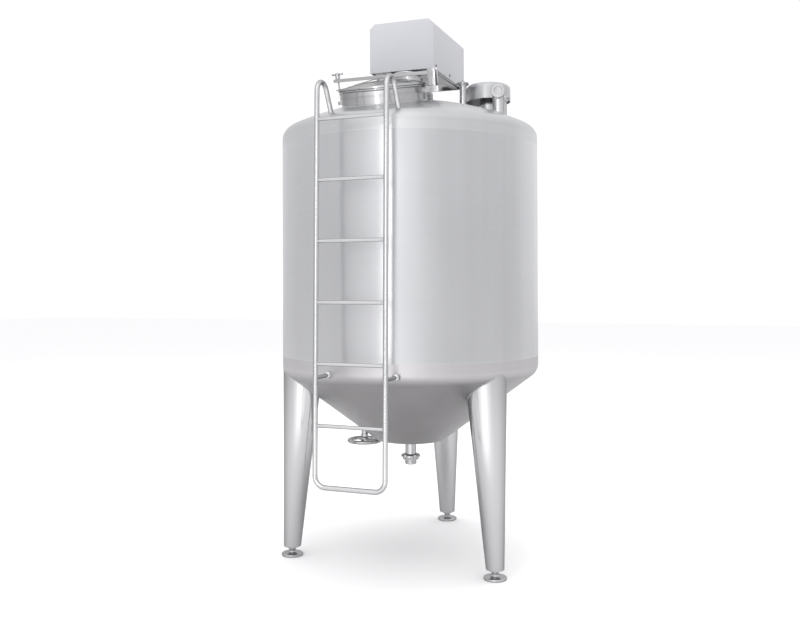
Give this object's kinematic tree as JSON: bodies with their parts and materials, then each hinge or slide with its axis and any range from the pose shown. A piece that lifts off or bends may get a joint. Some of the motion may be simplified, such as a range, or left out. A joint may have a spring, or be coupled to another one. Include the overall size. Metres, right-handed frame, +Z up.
{
  "type": "vertical storage tank",
  "caption": "Stainless vertical process tank with a dished top, coned bottom, tapered legs, fixed ladder, hinged manway lid, drive cover, roof nozzles and bottom outlet.",
  "frame": {"origin": "on the floor, in the middle of the rectangle that the tank and its ladder cover; the tank's own upright axis stands at y = 0.065", "axes": "+Z is up, the ladder and the manway face -Y, and the roof nozzles are on the +X side"},
  "size_m": [1.44, 1.5887, 2.973],
  "materials": {
    "vessel_sheet": "fine brushed stainless sheet",
    "leg_sheet": "brushed stainless, lengthwise",
    "bright_tube": "polished stainless tube",
    "fittings": "turned and polished stainless",
    "cover_sheet": "satin light grey sheet"
  },
  "bodies": {
    "tank": {"shell": "vessel_sheet", "top_head": "vessel_sheet", "bottom_cone": "vessel_sheet", "leg_front_left": "leg_sheet", "leg_front_right": "leg_sheet", "leg_back": "leg_sheet", "foot_front_left": "fittings", "foot_front_right": "fittings", "foot_back": "fittings", "ladder_rail_left": "bright_tube", "ladder_rail_right": "bright_tube", "ladder_bottom_bend": "bright_tube", "ladder_rung_1": "bright_tube", "ladder_rung_2": "bright_tube", "ladder_rung_3": "bright_tube", "ladder_rung_4": "bright_tube", "ladder_rung_5": "bright_tube", "ladder_rung_6": "bright_tube", "ladder_standoff_left": "bright_tube", "ladder_standoff_right": "bright_tube", "manway_collar": "vessel_sheet", "hinge_bracket": "fittings", "hinge_pin": "fittings", "bolt_lug": "fittings", "agitator_neck": "vessel_sheet", "drive_stool": "vessel_sheet", "drive_tray": "cover_sheet", "drive_cover": "cover_sheet", "wash_pipe": "fittings", "wash_pipe_cap": "fittings", "vent_neck": "vessel_sheet", "vent_hood": "vessel_sheet", "inlet_elbow": "fittings", "inlet_cap": "fittings", "gauge_nozzle": "fittings", "outlet_pipe": "fittings", "outlet_nut": "fittings", "drain_stem": "fittings"},
    "lid": {"manway_lid": "fittings", "lid_yoke": "fittings", "lid_crossbar": "fittings", "hold_down_bolt": "fittings"},
    "knob": {"star_knob": "fittings"},
    "handwheel": {"drain_handwheel": "fittings"}
  },
  "joints": [
    {"name": "lid_hinge", "type": "hinge", "parent": "tank", "child": "lid", "pos_m": [0.279, -0.34929, 2.59809], "axis": [0, 0.9711, 0.2385], "range_deg": [0, 100]},
    {"name": "knob_turn", "type": "hinge", "parent": "lid", "child": "knob", "pos_m": [-0.25587, -0.35175, 2.60813], "axis": [-0.0529, -0.2382, 0.9698], "continuous": true},
    {"name": "handwheel_turn", "type": "hinge", "parent": "tank", "child": "handwheel", "pos_m": [-0.27, 0.03, 0.605], "axis": [0, 0, 1], "continuous": true}
  ]
}
